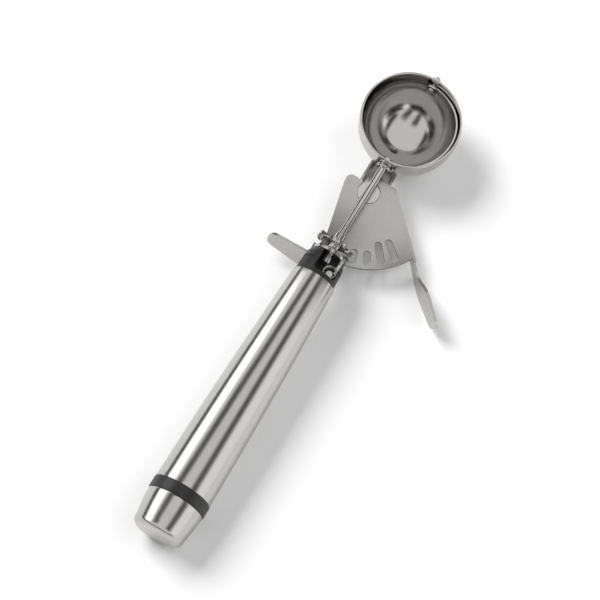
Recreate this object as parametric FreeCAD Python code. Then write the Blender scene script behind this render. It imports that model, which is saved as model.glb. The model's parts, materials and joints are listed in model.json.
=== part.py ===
import FreeCAD, Part
import math
import os

# Lever ice cream scoop, in millimetres. The tool frame has X along the drive shaft towards the bowl,
# Y to the left, Z up out of the bowl's mouth, and its origin where the shaft axis meets the bowl's centre.
# At the end every piece is laid down as the scoop rests on a table.

# Bowl
bowl_radius = 21.0
bowl_wall = 0.9
rim_height = 6.0
rim_round = 0.3

# Scraper blade, a curved strip that sweeps the bowl
blade_gap = 0.35
blade_thickness = 0.7
blade_spread = 21.0
blade_rest_tilt = 1.0
blade_band = 3.2
blade_eye_radius = 2.7
blade_eye_thickness = 0.8

# Front pivot pin of the blade
pin_radius = 1.2
pin_head_radius = 1.75
pin_head_height = 3.7
pin_head_side = 2.5
pin_tail_radius = 1.9
pin_tail_length = 0.7

# Drive shaft with its bush in the bowl and the nut behind the bearing plate
shaft_radius = 1.45
running_clearance = 0.06
fixed_clearance = 0.02
bush_radius = 2.1
bush_flange_radius = 2.8
bush_flange_length = 1.3
nut_radius = 1.95
nut_length = 3.1
nut_slot_width = 0.7
nut_slot_depth = 0.8
nut_slot_angle = 35.0
nut_chamfer = 0.3
shaft_chamfer = 0.2
axial_gap = 0.3

# Star wheel and the slots that drive it
wheel_thickness = 1.6
tooth_pitch = 45.0
tooth_reach = 1.975
tooth_width = 2.1
tooth_root_width = 3.1
wheel_root_radius = 4.6
tooth_places = [-22.5, 22.5, 67.5, 112.5, 157.5, 202.5]
lobe_short = 0.9
lobe_half_angle = 38.0
lobe_middle = 270.0
hub_radius = 2.1
hub_front_length = 3.6
hub_rear_round = 1.5
thrust_radius = 2.7
thrust_thickness = 0.8
thrust_play = 0.65

# Lever plate, one sheet with its finger paddle and thumb tab bent down
pivot_to_wheel = 28.5
lever_ratio = 4.0
sheet = 1.2
bowl_to_pivot = 11.0
plate_rim = 1.6
plate_front = 7.4
plate_front_left = -2.4
plate_front_round = 1.2
plate_corner_right = -8.8
plate_corner_round = 0.6
bite_x = 2.0
bite_y = 3.4
bite_round = 2.0
lobe_front_x = 3.4
lobe_front_y = 7.0
lobe_front_round = 1.5
lobe_left_x = 3.2
lobe_left_y = 11.3
lobe_rear_x = -1.0
lobe_rear_y = 11.0
lobe_round = 2.3
left_edge_x = -23.8
left_edge_y = 5.9
left_edge_round = 3.0
flare_x = -27.8
flare_y = 5.7
flare_round = 2.0
flare_end_y = 7.5
slot_width = 3.2
slot_past_wheel = 2.9
slot_short_ahead = 3.3
slot_long_ahead = 7.1
short_slots = 4
slots = 6
edge_angle = 45.0
flange_start = 1.0
flange_height = 3.6
flange_lean = 3.4
flange_end = 19.0
flange_end_round = 0.4
arm_start = 31.6
arm_top = 2.6
arm_bottom = 6.2
arm_round = 8.0
paddle_start = 38.5
paddle_full = 46.5
paddle_top = 4.9
paddle_tip_top = 4.8
paddle_bottom = 9.0
paddle_tip = 63.0
paddle_tip_round = 3.6
paddle_tip_bottom = 4.6
paddle_tip_cut = 3.4
paddle_round = 6.0
tab_setback = 2.7
tab_root_y = 5.6
tab_root_round = 0.6
tab_lean = 16.7
tab_sweep = 2.6
tab_reach = 20.2
tab_rise = 0.6
tab_depth = 10.9
tab_heel = 1.5
tab_heel_round = 4.0
tab_end_depth = 6.9
tab_end_round = 3.7
ear_depth = 2.6

# Frame strip, neck trough, bearing plate and tang, one stamped piece
frame_sheet = 1.2
washer_height = 2.2
washer_radius = 4.6
rivet_radius = 2.2
rivet_head_radius = 4.6
rivet_head_height = 0.6
rivet_recess = 0.6
rivet_recess_gap = 0.3
rivet_tail_radius = 3.6
rivet_tail_height = 0.9
rivet_round = 0.15
plate_play = 0.06
neck_width = 12.4
neck_wall_height = 1.7
neck_ahead_of_pivot = 4.0
neck_round = 1.2
neck_edge_round = 0.3
strip_overlap = 3.0
strip_width = 9.6
saddle_reach = 10.0
bearing_radius = 7.0
bearing_clearance = 0.6
bend_radius = 1.6
tang_width = 7.0
tang_thickness = 1.4
tang_drop = 4.9
tang_in_plug = 16.1
tang_round = 2.0
tang_hole_radius = 1.25

# Handle, with lengths measured back from the bearing plate's rear face
collar_nose_radius = 7.2
collar_nose_round = 0.5
collar_shoulder_radius = 8.25
collar_groove_radius = 8.55
collar_radius = 8.8
collar_shoulder = 2.4
groove_back = 5.4
groove_width = 0.6
groove_depth = 0.45
collar_length = 11.8
tube_length = 102.4
tube_front_radius = 9.35
tube_rear_radius = 12.3
tube_swell = 0.425
tube_wall = 0.8
spigot_length = 8.0
spigot_gap = 0.1
spigot_chamfer = 0.5
ring_width = 5.2
ring_proud = 0.15
ring_chamfer = 0.3
ring_spigot_length = 4.0
ring_bore_inset = 2.9
ring_web = 2.4
cap_length = 15.0
cap_front_inset = 0.1
cap_waist_inset = 0.55
cap_shoulder_inset = 1.4
cap_face_inset = 3.9
cap_shoulder_length = 3.2
cap_turn_depth = 0.75
cap_turn_inset = 2.15
cap_wall = 0.8

# Pocket in the collar with the return spring on its post
pocket_left = 2.4
pocket_right = -7.35
pocket_length = 9.7
pocket_floor = -2.4
pocket_round = 1.5
notch_width = 2.2
notch_length = 4.4
spring_back = 6.2
spring_y = -4.0
spring_radius = 2.7
spring_wire = 0.9
spring_pitch = 1.4
spring_top = 2.7
spring_start_angle = 121.0
spring_end_angle = 990.0
spring_tip_inside = 1.6
spring_tip_y = -7.0
spring_lift = 0.3
spring_tip_slope = 0.25
post_radius = 1.7
post_height = 2.2
post_round = 0.4

# Inner parts of the handle
plug_length = 24.0
plug_gap = 0.3
cross_pin_radius = 1.2
cross_pin_in_plug = 10.1
tie_rod_radius = 2.0
tie_rod_depth = 6.0
tie_rod_end = 1.5
tie_rod_chamfer = 0.4
rod_washer_radius = 5.0
rod_washer_thickness = 0.9
rod_nut_flats = 7.0
rod_nut_height = 3.2

# Laying down
touch_tolerance = 0.05
settle_steps = 12

# Sizes that follow from the ones above
pitch_depth = pivot_to_wheel / lever_ratio
wheel_radius = pitch_depth + tooth_reach
lobe_radius = wheel_radius - lobe_short
slot_pitch = tooth_pitch / lever_ratio
slot_outer = pivot_to_wheel + slot_past_wheel
slot_inner_short = pivot_to_wheel - slot_short_ahead
slot_inner_long = pivot_to_wheel - slot_long_ahead
plate_arc_radius = slot_outer + plate_rim
pivot_x = -bowl_radius - bowl_to_pivot
neck_rear = pivot_x + neck_ahead_of_pivot
wheel_x = pivot_x - pivot_to_wheel
plate_top = -pitch_depth + sheet / 2
plate_bottom = plate_top - sheet
bowl_inner = bowl_radius - bowl_wall
blade_outer = bowl_inner - blade_gap
blade_inner = blade_outer - blade_thickness
strip_top = plate_bottom - washer_height
strip_bottom = strip_top - frame_sheet
bearing_front = pivot_x - plate_arc_radius - bearing_clearance
bearing_rear = bearing_front - frame_sheet
collar_shoulder_x = bearing_rear - collar_shoulder
groove_x = bearing_rear - groove_back
notch_rear = bearing_rear - notch_length
pocket_rear = bearing_rear - pocket_length
spring_x = bearing_rear - spring_back
spring_tip_x = pivot_x - plate_arc_radius + spring_tip_inside
tube_front_x = bearing_rear - collar_length
tube_rear_x = tube_front_x - tube_length
plug_front_x = tube_front_x - spigot_length - plug_gap
tang_end = plug_front_x - tang_in_plug
cross_pin_x = plug_front_x - cross_pin_in_plug
ring_rear_x = tube_rear_x - ring_width
cap_end_x = ring_rear_x - cap_length
ring_radius = tube_rear_radius + ring_proud
ring_bore_radius = tube_rear_radius - ring_bore_inset
tube_middle_radius = (tube_front_radius + tube_rear_radius) / 2 + tube_swell
cap_front_radius = tube_rear_radius - cap_front_inset
cap_waist_radius = tube_rear_radius - cap_waist_inset
cap_shoulder_radius = tube_rear_radius - cap_shoulder_inset
cap_face_radius = tube_rear_radius - cap_face_inset
cap_turn_radius = tube_rear_radius - cap_turn_inset
nut_front_x = bearing_rear - axial_gap
nut_rear_x = nut_front_x - nut_length
hub_front_x = wheel_x + wheel_thickness / 2 + hub_front_length
hub_rear_x = bearing_front + thrust_thickness + 2 * thrust_play
eye_inner_x = blade_inner - blade_eye_thickness
bush_front_x = -bowl_inner
reach = 4 * bowl_radius

X = FreeCAD.Vector(1, 0, 0)
Z = FreeCAD.Vector(0, 0, 1)


def vec(x, y, z=0.0):
    return FreeCAD.Vector(x, y, z)


def rod_along_x(radius, x0, x1, y=0.0, z=0.0):
    """A round bar along X between two stations."""
    return Part.makeCylinder(radius, abs(x1 - x0), vec(min(x0, x1), y, z), X)


def block(x0, x1, y0, y1, z0, z1):
    """A rectangular block between two corners."""
    low = vec(min(x0, x1), min(y0, y1), min(z0, z1))
    return Part.makeBox(abs(x1 - x0), abs(y1 - y0), abs(z1 - z0), low)


def turned(points):
    """A solid turned about X from a half outline of (x, radius) points; a 4-tuple adds an arc's middle."""
    edges = []
    here = vec(points[0][0], points[0][1])
    for point in points[1:] + [points[0]]:
        there = vec(point[0], point[1])
        if there.distanceToPoint(here) < 1e-7:
            continue
        if len(point) == 4:
            edges.append(Part.Arc(here, vec(point[2], point[3]), there).toShape())
        else:
            edges.append(Part.LineSegment(here, there).toShape())
        here = there
    return Part.Face(Part.Wire(edges)).revolve(vec(0, 0), X, 360)


def rounded_wire(points):
    """A closed outline from (x, y, corner radius) points in the XY plane."""
    count = len(points)
    starts = []
    ends = []
    middles = []
    for i in range(count):
        corner = vec(points[i][0], points[i][1])
        before = (vec(points[i - 1][0], points[i - 1][1]) - corner).normalize()
        after = (vec(points[(i + 1) % count][0], points[(i + 1) % count][1]) - corner).normalize()
        radius = points[i][2]
        half = before.getAngle(after) / 2
        if radius <= 0:
            starts.append(corner)
            ends.append(corner)
            middles.append(None)
            continue
        run = radius / math.tan(half)
        bisector = (before + after).normalize()
        middles.append(corner + bisector * (radius / math.sin(half) - radius))
        starts.append(corner + before * run)
        ends.append(corner + after * run)
    edges = []
    for i in range(count):
        if middles[i] is not None:
            edges.append(Part.Arc(starts[i], middles[i], ends[i]).toShape())
        following = starts[(i + 1) % count]
        if ends[i].distanceToPoint(following) > 1e-6:
            edges.append(Part.LineSegment(ends[i], following).toShape())
    return Part.Wire(Part.__sortEdges__(edges))


def rounded_plate(points, z0, z1):
    """A flat plate between two heights with a rounded outline."""
    plate = Part.Face(rounded_wire(points)).extrude(vec(0, 0, z1 - z0))
    plate.translate(vec(0, 0, z0))
    return plate


def swung(shape, angle, centre=vec(0, 0, 0), axis=Z):
    """A copy turned about an axis."""
    copy = shape.copy()
    copy.rotate(centre, axis, angle)
    return copy


def tube_profile_centre():
    """Centre and radius of the arc that the handle tube's side follows."""
    x0, x2 = tube_front_x, tube_rear_x
    x1 = (x0 + x2) / 2
    r0, r1, r2 = tube_front_radius, tube_middle_radius, tube_rear_radius
    a = 2 * (x1 - x0)
    b = 2 * (r1 - r0)
    c = x1 ** 2 - x0 ** 2 + r1 ** 2 - r0 ** 2
    d = 2 * (x2 - x1)
    e = 2 * (r2 - r1)
    f = x2 ** 2 - x1 ** 2 + r2 ** 2 - r1 ** 2
    centre_x = (c * e - b * f) / (a * e - b * d)
    centre_r = (a * f - c * d) / (a * e - b * d)
    return centre_x, centre_r, math.hypot(x0 - centre_x, r0 - centre_r)


def tube_radius(x, inset=0.0):
    """The tube's radius at a station, drawn in by an inset."""
    centre_x, centre_r, arc = tube_profile_centre()
    return centre_r + math.sqrt((arc - inset) ** 2 - (x - centre_x) ** 2)


def tube_inside(x):
    return tube_radius(x, tube_wall)


def bowl():
    """Hemisphere with a short straight rim, its rim edges softened and two pivot holes."""
    def cup(radius, top):
        ball = Part.makeSphere(radius, vec(0, 0, 0), Z, -90, 0, 360)
        return ball.fuse(Part.makeCylinder(radius, top)).removeSplitter()
    shell = cup(bowl_radius, rim_height).cut(cup(bowl_inner, rim_height + bowl_wall))
    rim = [edge for edge in shell.Edges if abs(edge.BoundBox.ZMin - rim_height) < 1e-6]
    shell = shell.makeFillet(min(rim_round, bowl_wall / 3), rim)
    shell = shell.cut(rod_along_x(pin_radius + fixed_clearance, 0, reach))
    return shell.cut(rod_along_x(bush_radius + fixed_clearance, 0, -reach))


def scraper_blade():
    """Crescent strip of a thin ball, with a round eye at each pole."""
    half_profile = Part.Face(Part.Wire([
        Part.Arc(vec(-blade_outer, 0), vec(0, -blade_outer), vec(blade_outer, 0)).toShape(),
        Part.LineSegment(vec(blade_outer, 0), vec(blade_inner, 0)).toShape(),
        Part.Arc(vec(blade_inner, 0), vec(0, -blade_inner), vec(-blade_inner, 0)).toShape(),
        Part.LineSegment(vec(-blade_inner, 0), vec(-blade_outer, 0)).toShape()]))
    crescent = half_profile.revolve(vec(0, 0), X, blade_spread)
    crescent = swung(crescent, -blade_spread / 2, axis=X)
    ball = Part.makeSphere(blade_outer).cut(Part.makeSphere(blade_inner))
    band = ball.common(block(-reach, reach, -reach, 0, -blade_band / 2, blade_band / 2))
    blade = crescent.fuse(band)
    for side in (-1, 1):
        eye = rod_along_x(blade_eye_radius, side * eye_inner_x, side * (blade_inner + fixed_clearance))
        blade = blade.fuse(eye)
    blade = swung(blade, -blade_rest_tilt, axis=X).removeSplitter()
    blade = blade.cut(rod_along_x(pin_radius + running_clearance, 0, reach))
    return blade.cut(rod_along_x(shaft_radius + fixed_clearance, 0, -reach))


def front_pivot_pin():
    """Rivet through the bowl's far wall that carries the blade's front eye."""
    tail_x = eye_inner_x - axial_gap
    tail_end = tail_x - pin_tail_length
    tail = turned([(tail_end, 0), (tail_end, pin_tail_radius - rim_round),
                   (tail_end + rim_round, pin_tail_radius), (tail_x, pin_tail_radius), (tail_x, 0)])
    shank = rod_along_x(pin_radius, tail_x, bowl_radius)
    dome_top = bowl_radius + pin_head_height
    side_x = bowl_radius + pin_head_side
    crown = pin_head_height - pin_head_side
    ball = (pin_head_radius ** 2 + crown ** 2) / (2 * crown)
    halfway = math.asin(pin_head_radius / ball) / 2
    head = turned([(bowl_radius, 0), (bowl_radius, pin_head_radius), (side_x, pin_head_radius),
                   (dome_top, 0, dome_top - ball + ball * math.cos(halfway), ball * math.sin(halfway))])
    return tail.fuse([shank, head]).removeSplitter()


def shaft_bush():
    """Flanged bush in the bowl's near wall that carries the shaft."""
    flange_x = -bowl_radius - axial_gap / 3
    body = rod_along_x(bush_radius, bush_front_x, flange_x)
    flange = rod_along_x(bush_flange_radius, flange_x, flange_x - bush_flange_length)
    bush = body.fuse(flange)
    outer = [edge for edge in bush.Edges if edge.BoundBox.XMax < flange_x - bush_flange_length + 1e-6]
    bush = bush.makeFillet(rim_round, outer)
    return bush.cut(rod_along_x(shaft_radius + running_clearance, 0, -reach))


def drive_shaft():
    """Round rod from the blade's rear eye to the nut behind the bearing plate."""
    shaft = rod_along_x(shaft_radius, -eye_inner_x + fixed_clearance, nut_rear_x + nut_slot_depth)
    ends = [edge for edge in shaft.Edges if abs(edge.BoundBox.XLength) < 1e-6]
    return shaft.makeChamfer(shaft_chamfer, ends)


def shaft_end_nut():
    """Slotted round nut that keeps the shaft in the bearing plate."""
    nut = rod_along_x(nut_radius, nut_front_x, nut_rear_x)
    rear = [edge for edge in nut.Edges if edge.BoundBox.XMax < nut_rear_x + 1e-6]
    nut = nut.makeChamfer(nut_chamfer, rear)
    nut = nut.cut(rod_along_x(shaft_radius + fixed_clearance, nut_front_x, nut_rear_x + nut_slot_depth))
    side = nut_slot_width / 2
    slot = block(nut_rear_x, nut_rear_x + nut_slot_depth, -reach, reach, -side, side)
    return nut.cut(swung(slot, nut_slot_angle, axis=X))


def star_wheel():
    """Stamped wheel with six round-ended teeth and a blank lobe on the side that never meshes."""
    x0 = wheel_x - wheel_thickness / 2
    tip = wheel_radius - tooth_width / 2
    # One tooth is drawn pointing down, in the XY plane, and set about the axis.
    flat = []
    petal = rounded_plate([(-tooth_root_width / 2, 0, 0), (-tooth_width / 2, -tip + tooth_width / 2, 0),
                           (-tooth_width / 2, -wheel_radius, tooth_width * 0.495),
                           (tooth_width / 2, -wheel_radius, tooth_width * 0.495),
                           (tooth_width / 2, -tip + tooth_width / 2, 0), (tooth_root_width / 2, 0, 0)],
                          0, wheel_thickness)
    for place in tooth_places:
        flat.append(swung(petal, place))
    spread = math.radians(lobe_half_angle)
    lobe_edge = lobe_radius * math.tan(spread)
    lobe = rounded_plate([(0, 0, 0), (lobe_edge, -lobe_radius, 0), (-lobe_edge, -lobe_radius, 0)],
                         0, wheel_thickness)
    lobe = lobe.common(Part.makeCylinder(lobe_radius, wheel_thickness))
    corners = [edge for edge in lobe.Edges if edge.BoundBox.ZLength > wheel_thickness / 2
               and edge.CenterOfMass.distanceToPoint(vec(0, 0, wheel_thickness / 2)) > lobe_radius / 2]
    lobe = lobe.makeFillet(tooth_width / 2, corners)
    flat.append(swung(lobe, lobe_middle))
    wheel = Part.makeCylinder(wheel_root_radius, wheel_thickness).fuse(flat).removeSplitter()
    wheel = wheel.cut(Part.makeCylinder(hub_radius + fixed_clearance, wheel_thickness))
    # The drawing's x goes to the tool's -Y and its z to X, so that teeth are counted to the right.
    wheel.rotate(vec(0, 0, 0), X, 90)
    wheel.rotate(vec(0, 0, 0), Z, -90)
    box = wheel.BoundBox
    wheel.translate(vec(x0 - box.XMin, 0, 0))
    return wheel


def wheel_hub():
    """Stepped hub that fixes the wheel to the shaft."""
    corner = hub_rear_round * (1 - math.sqrt(0.5))
    hub = turned([(hub_rear_x, 0), (hub_rear_x, hub_radius - hub_rear_round),
                  (hub_rear_x + hub_rear_round, hub_radius, hub_rear_x + corner, hub_radius - corner),
                  (hub_front_x - rim_round, hub_radius), (hub_front_x, hub_radius - rim_round),
                  (hub_front_x, 0)])
    return hub.cut(rod_along_x(shaft_radius + fixed_clearance, 0, -reach))


def thrust_washer():
    """Washer between the hub and the bearing plate, loose on the shaft."""
    middle = (hub_rear_x + bearing_front) / 2
    ring = rod_along_x(thrust_radius, middle - thrust_thickness / 2, middle + thrust_thickness / 2)
    return ring.cut(rod_along_x(shaft_radius + fixed_clearance, 0, -reach))


def plate_outline():
    """The lever plate's outline about the pivot, run past the rear arc that trims it."""
    beyond = plate_arc_radius + sheet
    slope = math.tan(math.radians(edge_angle))
    return [(plate_front, plate_front_left, plate_front_round),
            (bite_x, bite_y, bite_round),
            (lobe_front_x, lobe_front_y, lobe_front_round),
            (lobe_left_x, lobe_left_y, lobe_round),
            (lobe_rear_x, lobe_rear_y, lobe_round),
            (left_edge_x, left_edge_y, left_edge_round),
            (flare_x, flare_y, flare_round),
            (-beyond, flare_end_y, 0),
            (-beyond, plate_corner_right - (plate_front + beyond) * slope, 0),
            (plate_front, plate_corner_right, plate_corner_round)]


def slot_cutters():
    """Round-ended radial slots, the short ones first, the others over the lever's wide side."""
    cutters = []
    side = slot_width / 2
    nearly_round = side * 0.99
    for i in range(slots):
        inner = slot_inner_short if i < short_slots else slot_inner_long
        slot = rounded_plate([(-slot_outer, -side, nearly_round), (-slot_outer, side, nearly_round),
                              (-inner, side, nearly_round), (-inner, -side, nearly_round)], -sheet, sheet)
        cutters.append(swung(slot, (i - 0.5) * slot_pitch))
    return cutters


def finger_paddle():
    """Flange bent down along the plate's right edge, then a thin arm and a broad paddle."""
    # The side view is drawn with x along the edge and y up from the plate's top face.
    side = rounded_plate([(flange_start, 0, flange_end_round), (arm_start, 0, flange_end_round),
                          (arm_start, -arm_top, flange_end_round), (paddle_start, -arm_top, arm_round),
                          (paddle_full, paddle_top, arm_round),
                          (paddle_tip, paddle_tip_top, paddle_tip_round),
                          (paddle_tip - paddle_tip_cut, -paddle_tip_bottom, paddle_round),
                          (paddle_full, -paddle_bottom, paddle_round),
                          (paddle_start, -paddle_bottom, paddle_tip_round),
                          (arm_start, -arm_bottom, arm_round),
                          (flange_end, -flange_height, arm_round),
                          (flange_start, -flange_height, flange_height / 2)], 0, sheet)
    side.rotate(vec(0, 0, 0), X, 90)
    side.rotate(vec(0, 0, 0), X, -flange_lean)
    side.rotate(vec(0, 0, 0), Z, 180 + edge_angle)
    return side


def thumb_tab():
    """Tab bent down from the plate's left rear ear and reaching out to the left."""
    tab = rounded_plate([(0, 0, tab_root_round), (tab_reach, tab_rise, tab_end_round),
                         (tab_reach, -tab_end_depth, tab_end_round),
                         (tab_heel, -tab_depth, tab_heel_round),
                         (0, -tab_depth / 2, tab_heel_round / 2)], 0, sheet)
    tab.rotate(vec(0, 0, 0), X, 90)
    tab.rotate(vec(0, 0, 0), X, tab_lean)
    tab.rotate(vec(0, 0, 0), Z, 90 + tab_sweep)
    return tab


def lever_plate():
    """The whole lever in one piece of sheet, about the pivot, then set in place."""
    plate = rounded_plate(plate_outline(), -sheet, 0)
    plate = plate.common(Part.makeCylinder(plate_arc_radius, sheet, vec(0, 0, -sheet)))
    plate = plate.cut(slot_cutters())
    plate = plate.cut(Part.makeCylinder(rivet_radius + running_clearance, sheet, vec(0, 0, -sheet)))
    plate = plate.cut(Part.makeCylinder(rivet_head_radius + rivet_recess_gap, sheet, vec(0, 0, -rivet_recess)))
    paddle = finger_paddle()
    paddle.translate(vec(plate_front, plate_corner_right, 0))
    ear = block(-plate_arc_radius - tab_setback, -plate_arc_radius + ear_depth,
                tab_root_y, tab_root_y + ear_depth, -sheet, 0)
    tab = thumb_tab()
    tab.translate(vec(-plate_arc_radius - tab_setback, tab_root_y, 0))
    lever = plate.fuse([paddle, ear, tab]).removeSplitter()
    lever.translate(vec(pivot_x, 0, plate_top))
    return lever


def frame():
    """Neck trough, flat strip, upturned bearing plate and tang, one stamped piece."""
    # Side view of the strip that turns up behind the lever's arc.
    inner = bend_radius
    outer = bend_radius + frame_sheet
    turn_x = bearing_rear + outer
    turn_z = strip_bottom + outer
    diagonal = math.sqrt(0.5)
    strip_front = neck_rear + strip_overlap
    side_edges = [
        Part.LineSegment(vec(strip_front, 0, strip_bottom), vec(turn_x, 0, strip_bottom)).toShape(),
        Part.Arc(vec(turn_x, 0, strip_bottom),
                 vec(turn_x - outer * diagonal, 0, turn_z - outer * diagonal),
                 vec(bearing_rear, 0, turn_z)).toShape(),
        Part.LineSegment(vec(bearing_rear, 0, turn_z), vec(bearing_rear, 0, bearing_radius)).toShape(),
        Part.LineSegment(vec(bearing_rear, 0, bearing_radius), vec(bearing_front, 0, bearing_radius)).toShape(),
        Part.LineSegment(vec(bearing_front, 0, bearing_radius), vec(bearing_front, 0, turn_z)).toShape(),
        Part.Arc(vec(bearing_front, 0, turn_z),
                 vec(turn_x - inner * diagonal, 0, turn_z - inner * diagonal),
                 vec(turn_x, 0, strip_top)).toShape(),
        Part.LineSegment(vec(turn_x, 0, strip_top), vec(strip_front, 0, strip_top)).toShape(),
        Part.LineSegment(vec(strip_front, 0, strip_top), vec(strip_front, 0, strip_bottom)).toShape()]
    sheet_body = Part.Face(Part.Wire(side_edges)).extrude(vec(0, 4 * bearing_radius, 0))
    sheet_body.translate(vec(0, -2 * bearing_radius, 0))
    disc = rod_along_x(bearing_radius, bearing_rear, bearing_front)
    leg = block(-reach, strip_front, -strip_width / 2, strip_width / 2, strip_bottom, 0)
    strip = sheet_body.common(disc.fuse(leg))
    # The neck is a trough whose section is drawn looking along X.
    wall = frame_sheet
    half = neck_width / 2
    top = strip_top + neck_wall_height
    section = [(-half, top, neck_edge_round), (-half, strip_bottom, neck_round + wall),
               (half, strip_bottom, neck_round + wall), (half, top, neck_edge_round),
               (half - wall, top, neck_edge_round), (half - wall, strip_top, neck_round),
               (-half + wall, strip_top, neck_round), (-half + wall, top, neck_edge_round)]
    trough = Part.Face(rounded_wire(section)).extrude(vec(0, 0, -saddle_reach - neck_rear))
    trough.rotate(vec(0, 0, 0), X, 90)
    trough.rotate(vec(0, 0, 0), Z, 90)
    trough.translate(vec(neck_rear - trough.BoundBox.XMin, 0, 0))
    # The trough ends against the bowl, and a saddle under it carries the bowl.
    seat = Part.makeSphere(bowl_radius + fixed_clearance)
    trough = trough.cut(seat)
    saddle = Part.makeSphere(bowl_radius + wall).cut(seat)
    saddle = saddle.common(block(-reach, -saddle_reach, wall - half, half - wall,
                                 -reach, (strip_top + strip_bottom) / 2))
    body = strip.fuse([trough, saddle]).removeSplitter()
    tang = block(bearing_rear, tang_end, -tang_width / 2, tang_width / 2,
                 -tang_drop - tang_thickness / 2, -tang_drop + tang_thickness / 2)
    corners = [edge for edge in tang.Edges if edge.BoundBox.ZLength > tang_thickness / 2
               and edge.BoundBox.XMax < tang_end + tang_thickness]
    tang = tang.makeFillet(tang_round, corners)
    body = body.fuse(tang).removeSplitter()
    body = body.cut(rod_along_x(shaft_radius + running_clearance, 0, -reach))
    body = body.cut(Part.makeCylinder(rivet_radius + fixed_clearance, reach, vec(pivot_x, 0, -reach)))
    pin_hole = Part.makeCylinder(tang_hole_radius, reach, vec(cross_pin_x, 0, -reach / 2 - tang_drop), Z)
    return body.cut(pin_hole)


def pivot_rivet():
    """Flat-headed rivet that the lever turns on."""
    top = plate_top - rivet_recess + plate_play
    head = Part.makeCylinder(rivet_head_radius, rivet_head_height, vec(pivot_x, 0, top))
    crown = [edge for edge in head.Edges if edge.BoundBox.ZMin > top + rivet_head_height - 1e-6]
    head = head.makeFillet(rivet_round, crown)
    shank = Part.makeCylinder(rivet_radius, top - strip_bottom, vec(pivot_x, 0, strip_bottom))
    foot = strip_bottom - rivet_tail_height
    tail = Part.makeCylinder(rivet_tail_radius, rivet_tail_height, vec(pivot_x, 0, foot))
    crown = [edge for edge in tail.Edges if edge.BoundBox.ZMax < foot + 1e-6]
    tail = tail.makeFillet(rivet_round, crown)
    return head.fuse([shank, tail]).removeSplitter()


def pivot_washer():
    """Thick washer that holds the lever plate above the frame strip."""
    low = vec(pivot_x, 0, strip_top)
    height = washer_height - plate_play
    washer = Part.makeCylinder(min(washer_radius, strip_width / 2 - 0.1), height, low)
    return washer.cut(Part.makeCylinder(rivet_radius + fixed_clearance, height, low))


def collar():
    """Moulded collar with a groove, an open pocket and a spigot in the handle tube."""
    front = bearing_rear
    spigot = tube_inside(tube_front_x) - spigot_gap
    spigot_x = tube_front_x - spigot_length
    groove_front = groove_x + groove_width / 2
    groove_rear = groove_x - groove_width / 2
    shoulder = collar_shoulder_x
    floor = collar_groove_radius - groove_depth
    body = turned([(front, 0), (front, collar_nose_radius - collar_nose_round),
                   (front - collar_nose_round, collar_nose_radius), (shoulder, collar_shoulder_radius),
                   (groove_front, collar_groove_radius), (groove_front, floor),
                   (groove_rear, floor), (groove_rear, collar_groove_radius),
                   (tube_front_x, collar_radius), (tube_front_x, spigot), (spigot_x + spigot_chamfer, spigot),
                   (spigot_x, spigot - spigot_chamfer), (spigot_x, 0)])
    ahead = front + pocket_round
    pocket = rounded_plate([(ahead, pocket_left, 0), (pocket_rear, pocket_left, pocket_round),
                            (pocket_rear, pocket_right, pocket_round), (ahead, pocket_right, 0)],
                           pocket_floor, collar_radius)
    half = tang_width / 2 + spigot_gap
    low = -tang_drop - tang_thickness / 2 - spigot_gap
    high = -tang_drop + tang_thickness / 2 + spigot_gap
    passage = block(front, spigot_x, -half, half, low, high)
    # The spring's lower leg leaves the pocket through a notch in the nose.
    notch = block(front, notch_rear, pocket_right, pocket_right + notch_width, pocket_floor, -collar_radius)
    return body.cut([pocket, passage, notch])


def spring_path():
    """The spring's centre line: a falling helix from the open hook, then a leg to the lever."""
    def on_helix(angle):
        turn = math.radians(angle)
        drop = (angle - spring_start_angle) / 360 * spring_pitch
        place = vec(spring_x + spring_radius * math.cos(turn),
                    spring_y + spring_radius * math.sin(turn), spring_top - drop)
        slope = spring_pitch / (2 * math.pi)
        heading = vec(-spring_radius * math.sin(turn), spring_radius * math.cos(turn), -slope)
        return place, heading.normalize()
    steps = round((spring_end_angle - spring_start_angle) / 90)
    stations = [on_helix(spring_start_angle + (spring_end_angle - spring_start_angle) * i / steps)
                for i in range(steps + 1)]
    tip = vec(spring_tip_x, spring_tip_y, plate_top + spring_lift + spring_wire / 2)
    stations.append((tip, vec(1, 0, -spring_tip_slope).normalize()))
    return stations


def biarc(start, start_heading, end, end_heading):
    """Two tangent arcs between two points with given headings."""
    chord = end - start
    both = start_heading + end_heading
    a = 2 * start_heading.dot(end_heading) - 2
    b = -2 * chord.dot(both)
    c = chord.dot(chord)
    if abs(a) < 1e-9:
        run = -c / b
    else:
        run = (-b - math.sqrt(b * b - 4 * a * c)) / (2 * a)
    first = start + start_heading * run
    second = end - end_heading * run
    joint = (first + second) * 0.5
    return [arc_by_corner(start, first, joint), arc_by_corner(joint, second, end)]


def arc_by_corner(start, corner, end):
    """The arc that touches both sides of a corner at equal distances."""
    before = (start - corner).normalize()
    after = (end - corner).normalize()
    half = before.getAngle(after) / 2
    run = start.distanceToPoint(corner)
    radius = run * math.tan(half)
    middle = corner + (before + after).normalize() * (radius / math.sin(half) - radius)
    return Part.Arc(start, middle, end).toShape()


def return_spring():
    """Torsion spring, one unbroken round wire."""
    stations = spring_path()
    edges = []
    for (start, start_heading), (end, end_heading) in zip(stations, stations[1:]):
        edges += biarc(start, start_heading, end, end_heading)
    path = Part.Wire(edges)
    section = Part.Wire([Part.makeCircle(spring_wire / 2, stations[0][0], stations[0][1])])
    print("spring: least gap to itself %.2f mm, least bend radius %.2f mm" % (
        wire_gap(path), min(edge.Curve.Radius for edge in edges)))
    return path.makePipeShell([section], True, False)


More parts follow.
